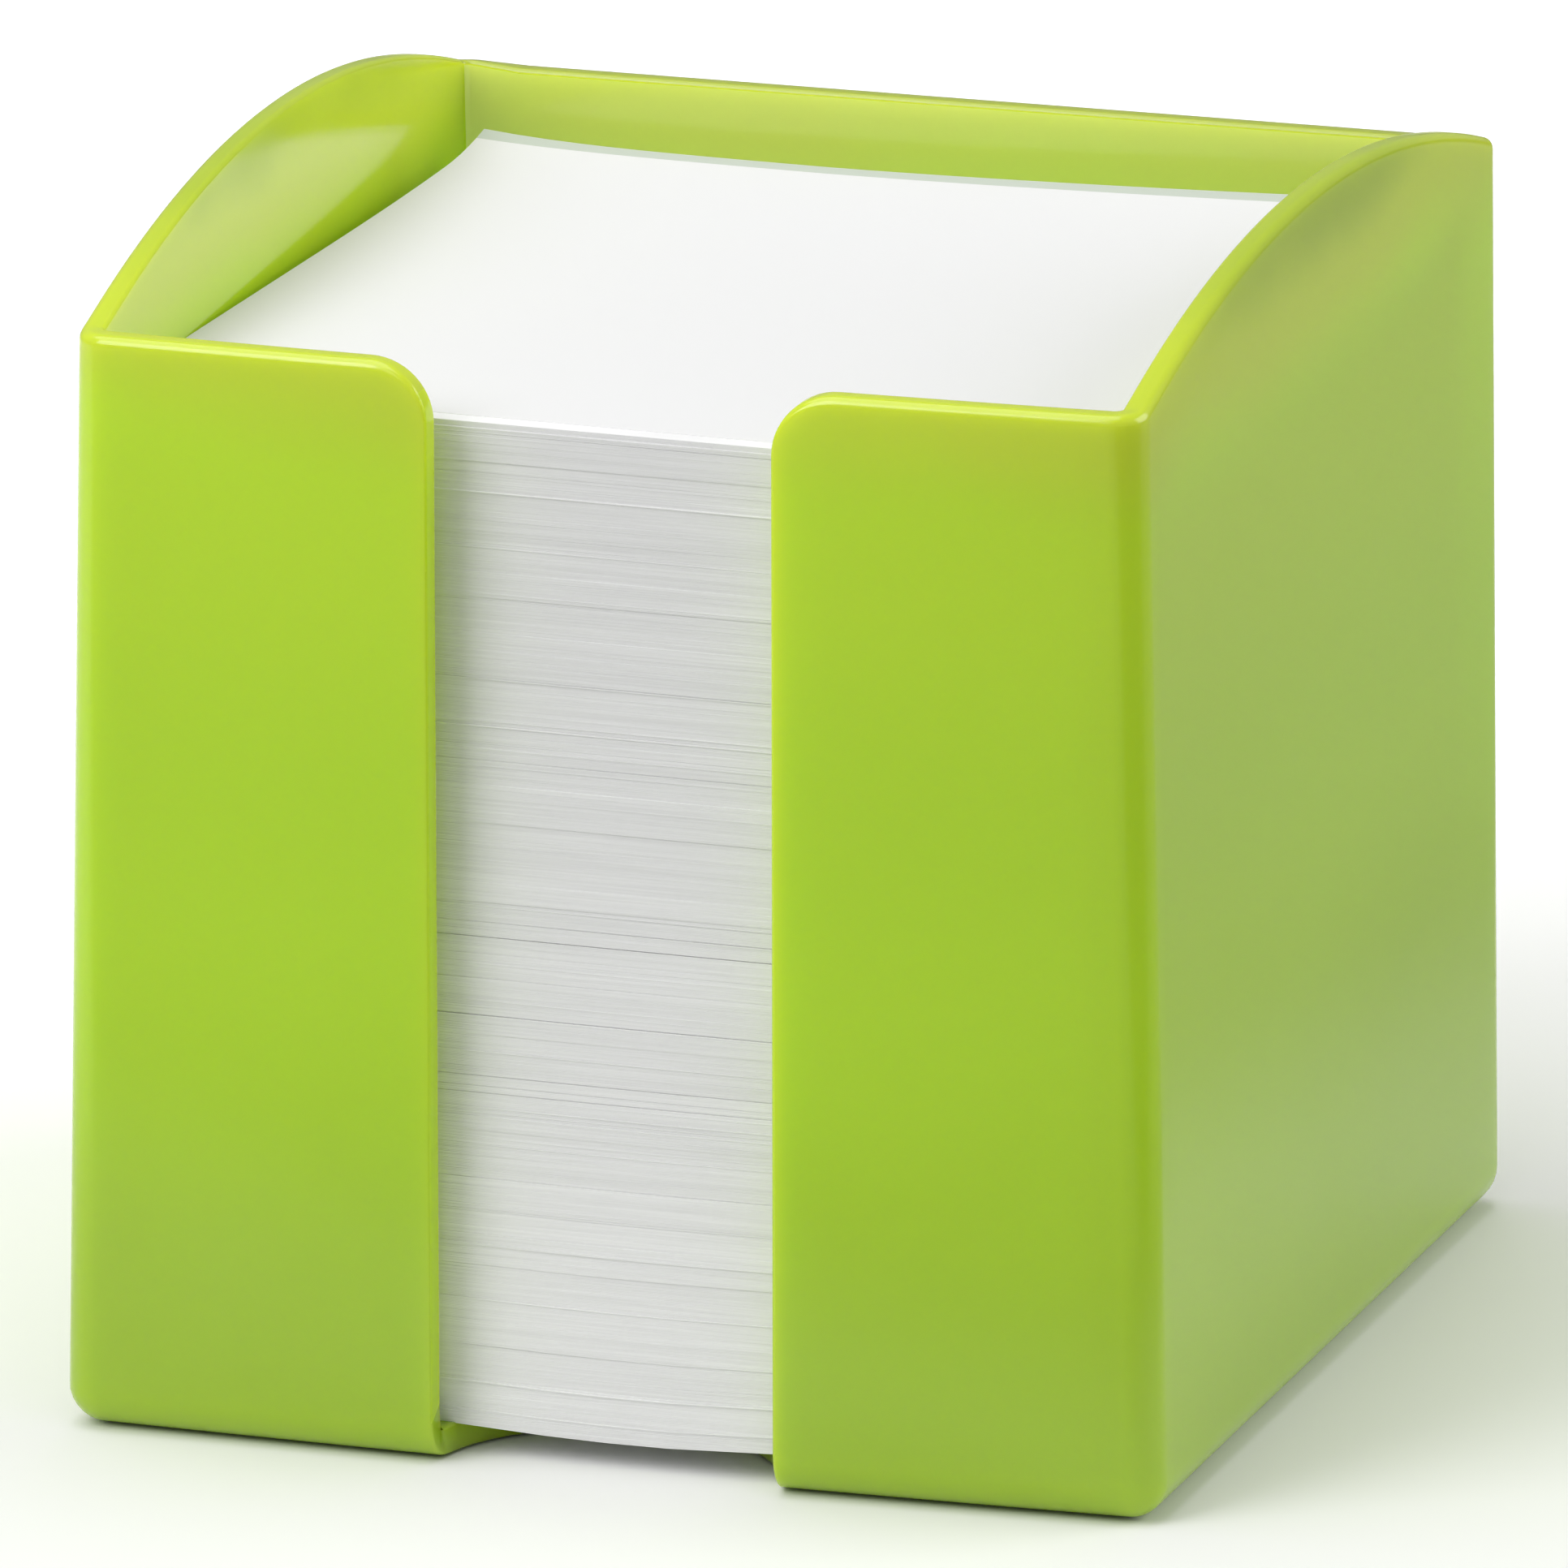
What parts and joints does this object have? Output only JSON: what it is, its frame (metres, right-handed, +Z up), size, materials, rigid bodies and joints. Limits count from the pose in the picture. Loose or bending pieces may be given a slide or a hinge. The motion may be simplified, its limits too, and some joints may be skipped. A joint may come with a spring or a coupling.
{
  "type": "memo box",
  "caption": "Open-topped lime plastic memo box with arched sides, a front thumb slot and a half-round floor notch, filled with loose square note sheets that lift out.",
  "frame": {"origin": "on the ground under the middle of the box's outline", "axes": "+Z up, the thumb slot faces -Y, +X to the right seen from the slot"},
  "size_m": [0.099, 0.1059, 0.1052],
  "materials": {
    "box_plastic": "glossy moulded lime plastic, very slightly cloudy",
    "note_paper": "uncoated white note paper"
  },
  "bodies": {
    "box": {"box": "box_plastic"},
    "lower_pile": {"sheaf_01": "note_paper", "sheaf_02": "note_paper", "sheaf_03": "note_paper", "sheaf_04": "note_paper", "sheaf_05": "note_paper", "sheaf_06": "note_paper", "sheaf_07": "note_paper", "sheaf_08": "note_paper", "sheaf_09": "note_paper", "sheaf_10": "note_paper", "sheaf_11": "note_paper", "sheaf_12": "note_paper", "sheaf_13": "note_paper", "sheaf_14": "note_paper", "sheaf_15": "note_paper", "sheaf_16": "note_paper", "sheaf_17": "note_paper", "sheaf_18": "note_paper", "sheaf_19": "note_paper", "sheaf_20": "note_paper", "sheaf_21": "note_paper", "sheaf_22": "note_paper", "sheaf_23": "note_paper", "sheaf_24": "note_paper", "sheaf_25": "note_paper", "sheaf_26": "note_paper", "sheaf_27": "note_paper", "sheaf_28": "note_paper"},
    "upper_wad": {"sheaf_29": "note_paper", "sheaf_30": "note_paper", "sheaf_31": "note_paper", "sheaf_32": "note_paper", "sheaf_33": "note_paper", "sheaf_34": "note_paper", "sheaf_35": "note_paper", "sheaf_36": "note_paper"},
    "loose_sheets": {"loose_sheet_1": "note_paper", "loose_sheet_2": "note_paper", "loose_sheet_3": "note_paper", "loose_sheet_4": "note_paper", "loose_sheet_5": "note_paper"},
    "top_sheet": {"top_sheet": "note_paper"}
  },
  "joints": [
    {"name": "refill_lift", "type": "slide", "parent": "box", "child": "lower_pile", "axis": [0, 0, 1], "range_m": [0, 0.104]},
    {"name": "wad_lift", "type": "slide", "parent": "lower_pile", "child": "upper_wad", "axis": [0, 0, 1], "range_m": [0, 0.036]},
    {"name": "loose_sheets_lift", "type": "slide", "parent": "upper_wad", "child": "loose_sheets", "axis": [0, 0, 1], "range_m": [0, 0.016]},
    {"name": "top_sheet_lift", "type": "slide", "parent": "loose_sheets", "child": "top_sheet", "axis": [0, 0, 1], "range_m": [0, 0.016]}
  ]
}
